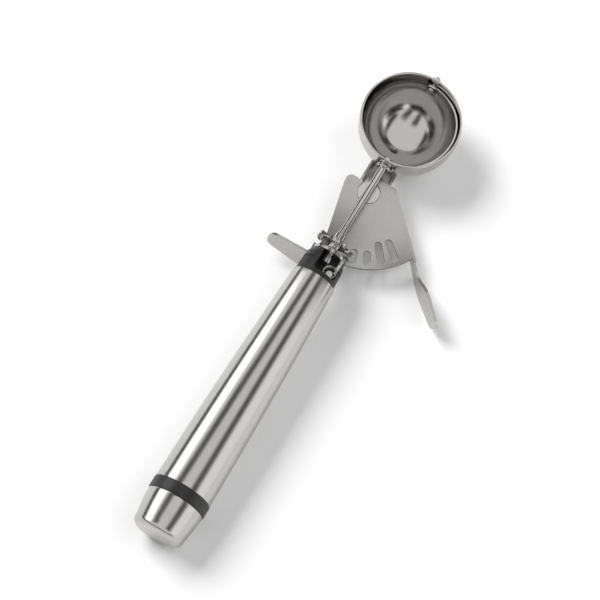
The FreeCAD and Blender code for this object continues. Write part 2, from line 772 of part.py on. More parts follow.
def wire_gap(path):
    """Least clear gap between turns, measured on points along the centre line."""
    points_per_wire = 3
    points = path.discretize(Distance=spring_wire / points_per_wire)
    skip = 4 * points_per_wire
    least = reach
    for i in range(len(points)):
        for other in points[i + skip:]:
            least = min(least, points[i].distanceToPoint(other))
    return least - spring_wire


def spring_post():
    """Steel post that the spring is wound about, seated in the pocket's floor."""
    post = Part.makeCylinder(post_radius, post_height, vec(spring_x, spring_y, pocket_floor))
    crown = [edge for edge in post.Edges if edge.BoundBox.ZMin > pocket_floor + post_height - 1e-6]
    return post.makeFillet(post_round, crown)


def handle_tube():
    """Steel tube whose side swells in one long arc towards the rear."""
    middle = (tube_front_x + tube_rear_x) / 2
    front, rear = tube_front_x, tube_rear_x
    return turned([(front, tube_inside(front)), (front, tube_radius(front)),
                   (rear, tube_radius(rear), middle, tube_radius(middle)), (rear, tube_inside(rear)),
                   (front, tube_inside(front), middle, tube_inside(middle))])


def front_plug():
    """Core inside the tube that grips the tang and the tie rod."""
    front = plug_front_x
    rear = front - plug_length
    plug = turned([(front, 0), (front, tube_inside(front) - spigot_gap), (rear, tube_inside(rear) - spigot_gap),
                   (rear, 0)])
    half = tang_width / 2 + spigot_gap
    passage = block(front, tang_end - plug_gap, -half, half, -tang_drop - tang_thickness / 2 - spigot_gap,
                    -tang_drop + tang_thickness / 2 + spigot_gap)
    plug = plug.cut(passage)
    plug = plug.cut(rod_along_x(tie_rod_radius + fixed_clearance, rear, rear + tie_rod_depth))
    pin_length = cross_pin_span()
    hole = Part.makeCylinder(cross_pin_radius + fixed_clearance, 2 * pin_length,
                             vec(cross_pin_x, 0, -pin_length), Z)
    return plug.cut(hole)


def cross_pin_span():
    """Half the cross pin's length, just short of the tube."""
    return tube_inside(cross_pin_x) - 2 * plug_gap


def cross_pin():
    """Pin through the core and the tang."""
    span = cross_pin_span()
    return Part.makeCylinder(cross_pin_radius, 2 * span, vec(cross_pin_x, 0, -span))


def tie_rod():
    """Rod from the core to the nut inside the end cap."""
    front = plug_front_x - plug_length + tie_rod_depth
    rear = ring_rear_x - rod_washer_thickness - rod_nut_height - tie_rod_end
    rod = rod_along_x(tie_rod_radius, front, rear)
    ends = [edge for edge in rod.Edges if edge.BoundBox.XLength < 1e-6]
    return rod.makeChamfer(tie_rod_chamfer, ends)


def rod_washer():
    web_rear = ring_rear_x
    washer = rod_along_x(rod_washer_radius, web_rear, web_rear - rod_washer_thickness)
    return washer.cut(rod_along_x(tie_rod_radius + fixed_clearance, web_rear, web_rear - rod_washer_thickness))


def rod_nut():
    """Six-sided nut on the tie rod's rear end."""
    front = ring_rear_x - rod_washer_thickness
    corner = rod_nut_flats / math.sqrt(3)
    points = [vec(front, corner * math.cos(math.radians(60 * i)), corner * math.sin(math.radians(60 * i)))
              for i in range(6)]
    nut = Part.Face(Part.makePolygon(points + [points[0]])).extrude(vec(-rod_nut_height, 0, 0))
    return nut.cut(rod_along_x(tie_rod_radius + fixed_clearance, front, front - rod_nut_height))


def rear_ring():
    """Moulded band between tube and cap, with a spigot each way and a web for the tie rod."""
    front = tube_rear_x
    rear = ring_rear_x
    tube_fit = tube_inside(front) - spigot_gap
    cap_fit = cap_front_radius - cap_wall - spigot_gap
    front_end = front + spigot_length
    rear_end = rear - ring_spigot_length
    ring = turned([(front_end, ring_bore_radius), (front_end, tube_inside(front_end) - spigot_gap),
                   (front, tube_fit), (front, ring_radius - ring_chamfer), (front - ring_chamfer, ring_radius),
                   (rear + ring_chamfer, ring_radius), (rear, ring_radius - ring_chamfer), (rear, cap_fit),
                   (rear_end, cap_fit - spigot_chamfer), (rear_end, ring_bore_radius)])
    web = rod_along_x(ring_bore_radius, rear, rear + ring_web)
    web = web.cut(rod_along_x(tie_rod_radius + fixed_clearance, rear, rear + ring_web))
    return ring.fuse(web).removeSplitter()


def end_cap():
    """Drawn steel cap with a rounded shoulder and a flat end face."""
    front = ring_rear_x
    end = cap_end_x

    def half_outline(inset):
        shoulder_x = end + cap_shoulder_length
        waist_x = (front + shoulder_x) / 2
        # Square to the rounded edge, a skin goes as far in as it goes down.
        corner = inset * math.sqrt(0.5)
        return [(front, 0), (front, cap_front_radius - inset),
                (shoulder_x, cap_shoulder_radius - inset, waist_x, cap_waist_radius - inset),
                (end + inset, cap_face_radius - inset / 2,
                 end + cap_turn_depth + corner, cap_turn_radius - corner),
                (end + inset, 0)]
    return turned(half_outline(0)).cut(turned(half_outline(cap_wall)))


solids = {
    "bowl": bowl(),
    "scraper_blade": scraper_blade(),
    "front_pivot_pin": front_pivot_pin(),
    "shaft_bush": shaft_bush(),
    "drive_shaft": drive_shaft(),
    "shaft_end_nut": shaft_end_nut(),
    "star_wheel": star_wheel(),
    "wheel_hub": wheel_hub(),
    "thrust_washer": thrust_washer(),
    "lever_plate": lever_plate(),
    "frame": frame(),
    "pivot_rivet": pivot_rivet(),
    "pivot_washer": pivot_washer(),
    "collar": collar(),
    "return_spring": return_spring(),
    "spring_post": spring_post(),
    "handle_tube": handle_tube(),
    "front_plug": front_plug(),
    "cross_pin": cross_pin(),
    "tie_rod": tie_rod(),
    "rod_washer": rod_washer(),
    "rod_nut": rod_nut(),
    "rear_ring": rear_ring(),
    "end_cap": end_cap(),
}


def lowest(points, up):
    """The point of a group that reaches furthest down along a direction."""
    return min(points, key=lambda point: point.dot(up))


def resting_placement():
    """Turns the scoop so that it rests on its butt, its finger paddle and its bowl or thumb tab."""
    rear = solids["end_cap"].tessellate(touch_tolerance)[0] + solids["rear_ring"].tessellate(touch_tolerance)[0]
    lever = solids["lever_plate"].tessellate(touch_tolerance)[0]
    paddle = [point for point in lever if point.y < plate_corner_right]
    tab = [point for point in lever if point.y > lobe_left_y]
    front = tab + solids["bowl"].tessellate(touch_tolerance)[0]
    up = Z
    for _ in range(settle_steps):
        butt_foot, paddle_foot, front_foot = lowest(rear, up), lowest(paddle, up), lowest(front, up)
        up = (paddle_foot - butt_foot).cross(front_foot - butt_foot).normalize()
        if up.z < 0:
            up = up * -1
    ahead = (X - up * X.dot(up)).normalize()
    left = up.cross(ahead)
    turn = FreeCAD.Matrix(ahead.x, ahead.y, ahead.z, 0, left.x, left.y, left.z, 0, up.x, up.y, up.z, 0)
    floor = butt_foot.dot(up)
    print("rests: thumb tab %.2f mm above the table, tipped %.2f and rolled %.2f degrees" % (
        lowest(tab, up).dot(up) - floor, math.degrees(math.asin(ahead.z)), math.degrees(math.asin(left.z))))
    return FreeCAD.Placement(turn)


def laid_down():
    """Every piece as it lies, with the origin under the middle of the whole scoop."""
    rest = resting_placement()
    whole = Part.makeCompound(list(solids.values()))
    whole.Placement = rest.multiply(whole.Placement)
    box = whole.optimalBoundingBox()
    rest = FreeCAD.Placement(vec(-box.Center.x, -box.Center.y, -box.ZMin), FreeCAD.Rotation()).multiply(rest)
    return rest, {name: shape.transformed(rest.Matrix, copy=True) for name, shape in solids.items()}


placement, pieces = laid_down()
os.makedirs("parts", exist_ok=True)
for name, shape in pieces.items():
    if not shape.isValid() or len(shape.Solids) != 1:
        print("fault in", name)
    shape.exportStep("parts/" + name + ".step")
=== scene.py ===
import json
import math

import bmesh
import bpy
from mathutils import Matrix, Vector


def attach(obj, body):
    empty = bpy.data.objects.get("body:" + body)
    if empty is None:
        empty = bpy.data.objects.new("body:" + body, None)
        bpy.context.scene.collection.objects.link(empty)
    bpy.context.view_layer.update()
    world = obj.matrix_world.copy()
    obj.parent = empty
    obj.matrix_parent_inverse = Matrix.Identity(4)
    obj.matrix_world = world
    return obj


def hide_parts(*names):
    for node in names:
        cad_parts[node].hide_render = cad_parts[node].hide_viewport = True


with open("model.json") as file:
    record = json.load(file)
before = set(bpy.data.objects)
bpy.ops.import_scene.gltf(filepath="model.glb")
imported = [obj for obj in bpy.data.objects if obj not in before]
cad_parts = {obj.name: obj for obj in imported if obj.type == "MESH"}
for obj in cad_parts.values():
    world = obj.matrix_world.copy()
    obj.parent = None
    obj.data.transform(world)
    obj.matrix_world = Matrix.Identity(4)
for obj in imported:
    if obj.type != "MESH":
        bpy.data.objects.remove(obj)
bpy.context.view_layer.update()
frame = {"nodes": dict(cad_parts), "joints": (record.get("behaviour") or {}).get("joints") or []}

# The tool frame: X along the drive shaft towards the bowl, Y to the left, Z up out of the bowl's mouth,
# origin where the shaft's axis meets the bowl's centre. Lengths in it are millimetres.
joints = {joint["name"]: joint for joint in frame["joints"]}
tool_x = Vector(joints["shaft_turn"]["axis"]).normalized()
tool_z = -Vector(joints["lever_swing"]["axis"]).normalized()
tool_y = tool_z.cross(tool_x)
turn = Matrix((tool_x, tool_y, tool_z)).transposed()
tool = Matrix.Translation(Vector(joints["shaft_turn"]["pos_m"])) @ turn.to_4x4() @ Matrix.Scale(0.001, 4)
into_tool = tool.inverted()

# Sizes of the real pieces, in millimetres and degrees
bowl_radius = 21.0
bowl_wall = 0.9
rim_height = 6.0
rim_round = 0.3
pin_radius = 1.2
bush_radius = 2.1
shaft_radius = 1.45
fit = 0.02
# Turned skins are finer than the CAD's own facets, so they are held this far inside them.
skin = 0.003

pivot_x = -32.0
plate_top = -6.525
sheet = 1.2
plate_front = 7.4
plate_corner_right = -8.8
edge_angle = 45.0
bend_round = 1.1

tooth_pitch = 45.0
teeth = 6
tooth_width = 2.1
tooth_root_width = 3.1
wheel_radius = 9.1
wheel_root_radius = 4.6
wheel_thickness = 1.6
lobe_radius = 8.2
lobe_half_angle = 38.0

spring_x = -73.0
spring_y = -4.0
spring_radius = 2.7
spring_wire = 0.9
spring_pitch = 1.4
spring_top = 2.7
spring_start_angle = 121.0
spring_end_angle = 990.0
spring_tip = (-63.4, -7.0, -5.775)
spring_tip_slope = 0.25

tube_wall = 0.8
tube_radii = (9.35, 11.25, 12.3)
cap_radii = (12.2, 11.75, 10.9)
cap_face_radius = 8.4
cap_shoulder_length = 3.2
cap_turn = (0.75, 10.15)

floor_half = 0.75
camera_lens = 168.0
camera_sensor = 36.0
camera_place = (-428.7, -69.1, 1066.1)
camera_right = (0.50150, -0.85889, 0.10393)
camera_up = (0.81030, 0.50840, 0.29146)


def from_tool(point):
    """A point of the tool frame, in millimetres, as a place in the row frame."""
    return tool @ Vector(point)


def reach(node):
    """Lowest and highest corner of a node in the tool frame."""
    points = [into_tool @ vertex.co for vertex in frame["nodes"][node].data.vertices]
    low = Vector(min(point[i] for point in points) for i in range(3))
    high = Vector(max(point[i] for point in points) for i in range(3))
    return low, high


# Materials

def linear(hex_colour):
    """A display hex colour as linear red, green, blue and alpha."""
    channels = [int(hex_colour[i:i + 2], 16) / 255 for i in (1, 3, 5)]
    return tuple(c / 12.92 if c <= 0.04045 else ((c + 0.055) / 1.055) ** 2.4 for c in channels) + (1.0,)


def add_node(tree, kind, settings=(), sockets=(), links=()):
    """Adds a node: settings are attributes, sockets are input values, links are inputs and their outputs."""
    node = tree.nodes.new(kind)
    for name, value in dict(settings).items():
        setattr(node, name, value)
    for name, value in dict(sockets).items():
        node.inputs[name].default_value = value
    for name, output in dict(links).items():
        tree.links.new(output, node.inputs[name])
    return node


def new_material(name):
    """An empty node material with its output and one main shader."""
    material = bpy.data.materials.new(name)
    material.use_nodes = True
    tree = material.node_tree
    tree.nodes.clear()
    shader = add_node(tree, "ShaderNodeBsdfPrincipled")
    output = add_node(tree, "ShaderNodeOutputMaterial", links={"Surface": shader.outputs["BSDF"]})
    output.location = (400, 0)
    return material, tree, shader


def stretched_noise(tree, scale, detail=3.0):
    """Noise on the piece's own coordinates; scale is the number of grains per metre along each axis."""
    place = add_node(tree, "ShaderNodeTexCoord")
    spread = add_node(tree, "ShaderNodeMapping", sockets={"Scale": scale},
                      links={"Vector": place.outputs["Object"]})
    return add_node(tree, "ShaderNodeTexNoise", sockets={"Scale": 1.0, "Detail": detail, "Roughness": 0.6},
                    links={"Vector": spread.outputs["Vector"]})


def remap(tree, output, low, high):
    """A noise value, which stays between 0.3 and 0.7 nearly everywhere, spread over a new range."""
    return add_node(tree, "ShaderNodeMapRange", links={"Value": output},
                    sockets={"From Min": 0.3, "From Max": 0.7, "To Min": low, "To Max": high})


def metal(name, colour, roughness, spread, grain, bump_mm, anisotropic=0.0, patina=0.06, painted_edge_shade=None):
    """Bare metal: a grain texture moves the roughness and a little height, and large soft patches dull it.

    Faces marked as cut by the press take the painted edge shade colour, where there is one: painted shade
    that stands in for the dark reflections along the sheet's cut edges."""
    material, tree, shader = new_material(name)
    shader.inputs["Metallic"].default_value = 1.0
    shader.inputs["Anisotropic"].default_value = anisotropic
    grains = stretched_noise(tree, grain)
    patches = stretched_noise(tree, (90.0, 90.0, 90.0), detail=2.0)
    rough = remap(tree, grains.outputs["Fac"], max(roughness - spread, 0.02), roughness + spread)
    extra = remap(tree, patches.outputs["Fac"], 0.0, patina)
    total = add_node(tree, "ShaderNodeMath", {"operation": "ADD"}, {},
                     {0: rough.outputs["Result"], 1: extra.outputs["Result"]})
    tree.links.new(total.outputs["Value"], shader.inputs["Roughness"])
    bright = linear(colour)
    dull = tuple(c * 0.93 for c in bright[:3]) + (1.0,)
    tone = add_node(tree, "ShaderNodeMix", {"data_type": "RGBA"}, {"A": bright, "B": dull},
                    {"Factor": patches.outputs["Fac"]})
    # Painted shade: the marked cut faces take a darker colour that stands in for dark reflections on the
    # edges.
    if painted_edge_shade:
        edge_shade_mask = add_node(tree, "ShaderNodeAttribute", {"attribute_name": "cut"})
        tone = add_node(tree, "ShaderNodeMix", {"data_type": "RGBA"}, {"B": linear(painted_edge_shade)},
                        {"A": tone.outputs["Result"], "Factor": edge_shade_mask.outputs["Fac"]})
    tree.links.new(tone.outputs["Result"], shader.inputs["Base Color"])
    height = add_node(tree, "ShaderNodeBump", sockets={"Strength": 1.0, "Distance": bump_mm / 1000},
                      links={"Height": grains.outputs["Fac"]})
    tree.links.new(height.outputs["Normal"], shader.inputs["Normal"])
    if anisotropic:
        tangent = add_node(tree, "ShaderNodeTangent", {"direction_type": "UV_MAP"})
        tree.links.new(tangent.outputs["Tangent"], shader.inputs["Tangent"])
    return material


# The colours of the steels are fitted to the photo's greys together with the light, so they are darker than
# clean stainless steel.

# Stainless steel pressed and mirror polished: crisp reflections, bent a little by polishing rings 1 mm apart.
bowl_steel = metal("polished_bowl_steel", "#BFBDBB", 0.09, 0.03, (90.0, 90.0, 1100.0), 0.010)
# The same steel as a thin strip, polished by hand, so a touch softer.
blade_steel = metal("polished_blade_strip", "#C4C3C1", 0.10, 0.04, (2500.0, 900.0, 900.0), 0.0012)
# Turned bar: bright, with fine rings from the lathe about 0.1 mm apart.
turned_steel = metal("turned_bright_steel", "#C4C3C1", 0.12, 0.03, (9000.0, 400.0, 400.0), 0.0008)
# Stamped wheel, tumbled after stamping: bright faces with small soft dents.
wheel_steel = metal("tumbled_wheel_steel", "#BEBDBB", 0.14, 0.05, (1800.0, 1800.0, 1800.0), 0.004)
# Sheet with a satin roll finish along it: even grey faces, streaks 0.1 mm wide, and painted shade on its cut
# edges that stands in for dark reflections there.
lever_steel = metal("satin_sheet_steel", "#B5B4B2", 0.22, 0.03, (700.0, 9000.0, 700.0), 0.0008,
                    painted_edge_shade="#5E5D5B")
frame_steel = metal("stamped_strip_steel", "#BBBAB8", 0.18, 0.05, (700.0, 9000.0, 700.0), 0.0015)
# Drawn spring wire: bright, lengthwise draw marks too fine to see, shown as soft variation.
wire_steel = metal("drawn_spring_wire", "#C0BFBD", 0.15, 0.04, (2500.0, 2500.0, 2500.0), 0.001)
# Tube brushed while it turned: rings round it that spread light along it and keep bands crisp across it.
brushed_tube = metal("brushed_tube_steel", "#BCBBB9", 0.22, 0.02, (9000.0, 40.0, 40.0), 0.0005,
                     anisotropic=0.6, patina=0.03)


def black_moulding():
    """Injection moulded black plastic: half gloss skin with a fine spark texture of 0.2 mm."""
    material, tree, shader = new_material("moulded_black_plastic")
    shader.inputs["Base Color"].default_value = linear("#0E0E10")
    shader.inputs["IOR"].default_value = 1.52
    grains = stretched_noise(tree, (5000.0, 5000.0, 5000.0), detail=2.0)
    rough = remap(tree, grains.outputs["Fac"], 0.38, 0.50)
    tree.links.new(rough.outputs["Result"], shader.inputs["Roughness"])
    height = add_node(tree, "ShaderNodeBump", sockets={"Strength": 1.0, "Distance": 0.00001},
                      links={"Height": grains.outputs["Fac"]})
    tree.links.new(height.outputs["Normal"], shader.inputs["Normal"])
    return material


black_plastic = black_moulding()


# Meshes

def rounded_profile(points, arc_steps=5):
    """Points (x, radius, corner rounding) as a smooth list; rounding 0 keeps the corner."""
    line = []
    for i, (x, r, rounding) in enumerate(points):
        corner = Vector((x, r))
        if rounding <= 0 or i in (0, len(points) - 1):
            line.append(corner)
            continue
        before = Vector(points[i - 1][:2]) - corner
        after = Vector(points[i + 1][:2]) - corner
        half = before.angle(after) / 2
        run = min(rounding / math.tan(half), before.length * 0.49, after.length * 0.49)
        rounding = run * math.tan(half)
        inward = (before.normalized() + after.normalized()).normalized()
        middle = corner + inward * (rounding / math.sin(half))
        first = corner + before.normalized() * run - middle
        last = corner + after.normalized() * run - middle
        sweep = first.angle_signed(last)
        for step in range(arc_steps + 1):
            line.append(middle + Matrix.Rotation(-sweep * step / arc_steps, 2) @ first)
    return line


def arc_points(start, middle, end, steps):
    """Points on the arc through three points, without its first."""
    a, b, c = Vector(start), Vector(middle), Vector(end)
    d = 2 * (a.x * (b.y - c.y) + b.x * (c.y - a.y) + c.x * (a.y - b.y))
    sa, sb, sc = a.length_squared, b.length_squared, c.length_squared
    centre = Vector(((sa * (b.y - c.y) + sb * (c.y - a.y) + sc * (a.y - b.y)) / d,
                     (sa * (c.x - b.x) + sb * (a.x - c.x) + sc * (b.x - a.x)) / d))
    first = a - centre
    sweep = first.angle_signed(c - centre)
    return [centre + Matrix.Rotation(-sweep * step / steps, 2) @ first for step in range(1, steps + 1)]


def mesh_object(name, mesh, material):
    """A finished mesh as an object at the origin with one material."""
    mesh.materials.clear()
    mesh.materials.append(material)
    thing = bpy.data.objects.new(name, mesh)
    bpy.context.scene.collection.objects.link(thing)
    return thing


def lathe(name, profile, material, steps=144):
    """Turns a closed profile of (x, radius) points about the tool's X axis, with UVs along and round it."""
    builder = bmesh.new()
    rings = []
    for x, r in profile:
        if r < 1e-6:
            rings.append([builder.verts.new((x, 0, 0))] * steps)
            continue
        rings.append([builder.verts.new((x, r * math.cos(2 * math.pi * i / steps),
                                         r * math.sin(2 * math.pi * i / steps))) for i in range(steps)])
    uv = builder.loops.layers.uv.new("along_round")
    travelled = [0.0]
    for a, b in zip(profile, profile[1:] + profile[:1]):
        travelled.append(travelled[-1] + (Vector(b) - Vector(a)).length)
    count = len(rings)
    for k in range(count):
        here, there = rings[k], rings[(k + 1) % count]
        if profile[k][1] < 1e-6 and profile[(k + 1) % count][1] < 1e-6:
            continue
        for i in range(steps):
            j = (i + 1) % steps
            corners = [(here[i], k, i), (here[j], k, i + 1), (there[j], k + 1, i + 1), (there[i], k + 1, i)]
            used = []
            for corner in corners:
                if corner[0] not in [other[0] for other in used]:
                    used.append(corner)
            face = builder.faces.new([corner[0] for corner in used])
            face.smooth = True
            for loop, corner in zip(face.loops, used):
                loop[uv].uv = (travelled[corner[1]] / 1000, corner[2] / steps)
    bmesh.ops.recalc_face_normals(builder, faces=builder.faces)
    mesh = bpy.data.meshes.new(name)
    builder.to_mesh(mesh)
    builder.free()
    mesh.transform(tool)
    return settled(mesh_object(name, mesh, material))


def settled(thing, edge_round=0.0, sharp_angle=30.0):
    """Rounds the edges if asked, weights the normals by face area and makes the result a plain mesh."""
    if edge_round:
        bevel = thing.modifiers.new("edge", "BEVEL")
        bevel.width = edge_round / 1000
        bevel.segments = 3
        bevel.limit_method = "ANGLE"
        bevel.angle_limit = math.radians(sharp_angle)
        bevel.use_clamp_overlap = True
    weighted = thing.modifiers.new("normals", "WEIGHTED_NORMAL")
    weighted.weight = 80
    weighted.keep_sharp = False
    mesh = bpy.data.meshes.new_from_object(thing.evaluated_get(bpy.context.evaluated_depsgraph_get()))
    mesh.name = thing.name
    thing.modifiers.clear()
    thing.data = mesh
    return thing


def like_node(node, material, edge_round, press_and_shade=None):
    """A copy of a node's mesh with its flat faces merged, its own press work and any painted shade marks done
    and its edges rounded.
    """
    builder = bmesh.new()
    builder.from_mesh(frame["nodes"][node].data)
    bmesh.ops.remove_doubles(builder, verts=builder.verts, dist=1e-7)
    bmesh.ops.dissolve_limit(builder, angle_limit=math.radians(0.5), verts=builder.verts, edges=builder.edges)
    if press_and_shade:
        press_and_shade(builder)
    for face in builder.faces:
        face.smooth = True
    mesh = bpy.data.meshes.new(node + "_finished")
    builder.to_mesh(mesh)
    builder.free()
    return settled(mesh_object(node + "_finished", mesh, material), edge_round)


def mark_painted_edge_shade(builder):
    """Marks the upright faces within the thickness of the lever's plate, where the press cut the sheet, for
    painted shade: a darker colour there stands in for dark reflections on the edges.
    """
    cut = builder.faces.layers.float.new("cut")
    for face in builder.faces:
        facing = (turn.transposed() @ face.normal).z
        inside = plate_top - sheet < (into_tool @ face.calc_center_median()).z < plate_top
        face[cut] = float(abs(facing) < 0.3 and inside)


def round_long_bend(builder):
    """Rounds the outside of the bend between the lever's plate and its flange, which the press left soft."""
    corner = Vector((pivot_x + plate_front, plate_corner_right, plate_top))
    along = Vector((math.cos(math.radians(180 + edge_angle)), math.sin(math.radians(180 + edge_angle)), 0))

    def on_bend(vertex):
        away = into_tool @ vertex.co - corner
        return (away - along * away.dot(along)).length < 0.02

    edges = [edge for edge in builder.edges if all(on_bend(vertex) for vertex in edge.verts)]
    bmesh.ops.bevel(builder, geom=edges, offset=bend_round / 1000, segments=5, profile=0.5, affect="EDGES",
                    clamp_overlap=True)


def press_sheet_and_edge_shade(builder):
    """What the press leaves on the lever, the soft bend, and the mark for the painted edge shade on the cut
    faces.
    """
    mark_painted_edge_shade(builder)
    round_long_bend(builder)


def placed(thing, body, slot_name, *nodes):
    """Sets a piece on its body, in the place of its nodes."""
    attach(thing, body)
    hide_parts(*nodes)
    return thing


# Bowl and blade

def ball_arc(radius, start, end, steps):
    """Points (x, radius) on a ball about the origin between two angles from the X axis, in degrees."""
    turns = [math.radians(start + (end - start) * step / steps) for step in range(steps + 1)]
    return [Vector((radius * math.cos(turn), radius * math.sin(turn))) for turn in turns]


def bowl():
    """The cup: turned about its own upright axis, then its two pivot holes are cut."""
    outer, inner = bowl_radius - skin, bowl_radius - bowl_wall
    outside = ball_arc(outer, 180, 90, 64)
    inside = ball_arc(inner, 90, 180, 64)
    top = rounded_profile([(-1, outer, 0), (rim_height, outer, rim_round), (rim_height, inner, rim_round),
                           (-1, inner, 0)])
    profile = outside + top[1:-1] + inside
    thing = lathe("bowl_finished", [(p.x, p.y) for p in profile], bowl_steel, 192)
    # The profile was turned about the shaft's axis, so the cup is stood up about the bowl's centre.
    upright = tool @ Matrix.Rotation(math.radians(-90), 4, "Y") @ into_tool
    thing.data.transform(upright)
    for side, radius in ((1, pin_radius), (-1, bush_radius + fit)):
        drill_hole(thing, radius, side * (bowl_radius - 3), side * (bowl_radius + 3))
    return placed(thing, "root", "bowl_steel", "bowl")


def drill_hole(thing, radius, x0, x1):
    """Cuts a round hole along the tool's X axis."""
    bpy.ops.mesh.primitive_cylinder_add(vertices=48, radius=radius, depth=abs(x1 - x0))
    drill = bpy.context.object
    lying = Matrix.Rotation(math.pi / 2, 4, "Y")
    drill.data.transform(tool @ Matrix.Translation(((x0 + x1) / 2, 0, 0)) @ lying)
    cut = thing.modifiers.new("hole", "BOOLEAN")
    cut.operation = "DIFFERENCE"
    cut.object = drill
    cut.solver = "EXACT"
    mesh = bpy.data.meshes.new_from_object(thing.evaluated_get(bpy.context.evaluated_depsgraph_get()))
    thing.modifiers.clear()
    thing.data = mesh
    bpy.data.objects.remove(drill)


def turned_piece(node, body, slot_name, material, edge, hole=0.0, steps=64):
    """A plain turned piece about the shaft's axis that stands for one node."""
    low, high = reach(node)
    radius = (high.y - low.y) / 2
    profile = rounded_profile([(low.x, hole, 0), (low.x, radius, edge), (high.x, radius, edge),
                               (high.x, hole, 0)])
    thing = lathe(node + "_finished", [(p[0], p[1]) for p in profile], material, steps)
    return placed(thing, body, slot_name, node)


def handle():
    """The tube, whose side swells in one long arc towards the rear."""
    low, high = reach("handle_tube")
    front, rear = high.x, low.x
    stations = [(front, tube_radii[0]), ((front + rear) / 2, tube_radii[1]), (rear, tube_radii[2])]
    outside = [Vector(stations[0])] + arc_points(*stations, 48)
    inside = [Vector((p.x, p.y - tube_wall)) for p in reversed(outside)]
    lip = 0.12
    profile = [Vector((front, tube_radii[0] - lip)), Vector((front - lip, tube_radii[0]))] + outside[1:-1]
    profile += [Vector((rear + lip, tube_radii[2])), Vector((rear, tube_radii[2] - lip))] + inside
    tube = lathe("handle_tube_finished", [(p.x, p.y) for p in profile], brushed_tube, 192)
    return placed(tube, "root", "handle_steel", "handle_tube")


def end_cap():
    """The drawn cup behind the black band, with its rounded shoulder and flat end face."""
    low, high = reach("end_cap")
    front, end = high.x, low.x
    shoulder = end + cap_shoulder_length

    def side(inset):
        corner = inset * math.sqrt(0.5)
        start = (front, cap_radii[0] - inset)
        waist = ((front + shoulder) / 2, cap_radii[1] - inset)
        turn_start = (shoulder, cap_radii[2] - inset)
        turn_middle = (end + cap_turn[0] + corner, cap_turn[1] - corner)
        turn_end = (end + inset, cap_face_radius - inset / 2)
        line = [Vector(start)] + arc_points(start, waist, turn_start, 24)
        return line + arc_points(turn_start, turn_middle, turn_end, 12) + [Vector((end + inset, 0))]

    profile = side(skin) + side(tube_wall)[::-1]
    cup = lathe("end_cap_finished", [(p.x, p.y) for p in profile], brushed_tube, 192)
    return placed(cup, "root", "cap_steel", "end_cap")


# Pieces grown by node trees: the toothed wheel and the wound spring

def shape_tree(name, inputs):
    """An empty node tree with geometry in and out and named inputs, and each input's key."""
    tree = bpy.data.node_groups.new(name, "GeometryNodeTree")
    tree.interface.new_socket("Geometry", in_out="INPUT", socket_type="NodeSocketGeometry")
    tree.interface.new_socket("Geometry", in_out="OUTPUT", socket_type="NodeSocketGeometry")
    keys = {}
    for label, kind in inputs.items():
        socket = tree.interface.new_socket(label, in_out="INPUT", socket_type="NodeSocket" + kind)
        keys[label] = socket.identifier
    return tree, tree.nodes.new("NodeGroupInput"), tree.nodes.new("NodeGroupOutput"), keys


def finish_tree(tree, end, geometry, material):
    """The last nodes of every tree: real geometry with its material."""
    real = add_node(tree, "GeometryNodeRealizeInstances", links={"Geometry": geometry})
    dressed = add_node(tree, "GeometryNodeSetMaterial", sockets={"Material": material},
                       links={"Geometry": real.outputs["Geometry"]})
    tree.links.new(dressed.outputs["Geometry"], end.inputs["Geometry"])


def grown(thing, tree, keys, values):
    """Runs a node tree on an object and keeps the plain mesh that comes out."""
    modifier = thing.modifiers.new("shape", "NODES")
    modifier.node_group = tree
    for label, value in values.items():
        modifier[keys[label]] = value
    thing.update_tag()
    mesh = bpy.data.meshes.new_from_object(thing.evaluated_get(bpy.context.evaluated_depsgraph_get()))
    mesh.name = thing.name
    thing.modifiers.clear()
    thing.data = mesh
    return thing


def flat_outline(name, points, material, thickness, middle_x):
    """A plate cut to an outline of (y, z) points, across the shaft's axis, about a station on it."""
    builder = bmesh.new()
    faces = []
    for side in (-0.5, 0.5):
        ring = [builder.verts.new((middle_x + side * thickness, y, z)) for y, z in points]
        faces.append(ring)
        builder.faces.new(ring)
    count = len(points)
    for i in range(count):
        j = (i + 1) % count
        builder.faces.new((faces[0][i], faces[0][j], faces[1][j], faces[1][i]))
    bmesh.ops.recalc_face_normals(builder, faces=builder.faces)
    mesh = bpy.data.meshes.new(name)
    builder.to_mesh(mesh)
    builder.free()
    return mesh_object(name, mesh, material)


def around(radius, start, end, steps):
    """Points (y, z) on a circle, with the angle in degrees counted from straight down towards the left."""
    turns = [math.radians(start + (end - start) * step / steps) for step in range(steps + 1)]
    return [(radius * math.sin(turn), -radius * math.cos(turn)) for turn in turns]


def wheel_tree():
    """Sets one tooth round the wheel's body by its pitch and joins all into one piece."""
    tree, start, end, keys = shape_tree("toothed_wheel", {"Tooth": "Object", "Teeth": "Int", "First": "Float",
                                                          "Pitch": "Float"})
    tooth = add_node(tree, "GeometryNodeObjectInfo", links={"Object": start.outputs["Tooth"]})
    places = add_node(tree, "GeometryNodeMeshLine", sockets={"Offset": (0, 0, 0)},
                      links={"Count": start.outputs["Teeth"]})
    index = add_node(tree, "GeometryNodeInputIndex")
    angle = add_node(tree, "ShaderNodeMath", {"operation": "MULTIPLY_ADD"}, {},
                     {0: index.outputs["Index"], 1: start.outputs["Pitch"], 2: start.outputs["First"]})
    spin = add_node(tree, "ShaderNodeCombineXYZ", links={"X": angle.outputs["Value"]})
    copies = add_node(tree, "GeometryNodeInstanceOnPoints",
                      links={"Points": places.outputs["Mesh"], "Instance": tooth.outputs["Geometry"],
                             "Rotation": spin.outputs["Vector"]})
    real = add_node(tree, "GeometryNodeRealizeInstances", links={"Geometry": copies.outputs["Instances"]})
    whole = add_node(tree, "GeometryNodeMeshBoolean", {"operation": "UNION"})
    tree.links.new(start.outputs["Geometry"], whole.inputs[1])
    tree.links.new(real.outputs["Geometry"], whole.inputs[1])
    finish_tree(tree, end, whole.outputs["Mesh"], wheel_steel)
    return tree, keys


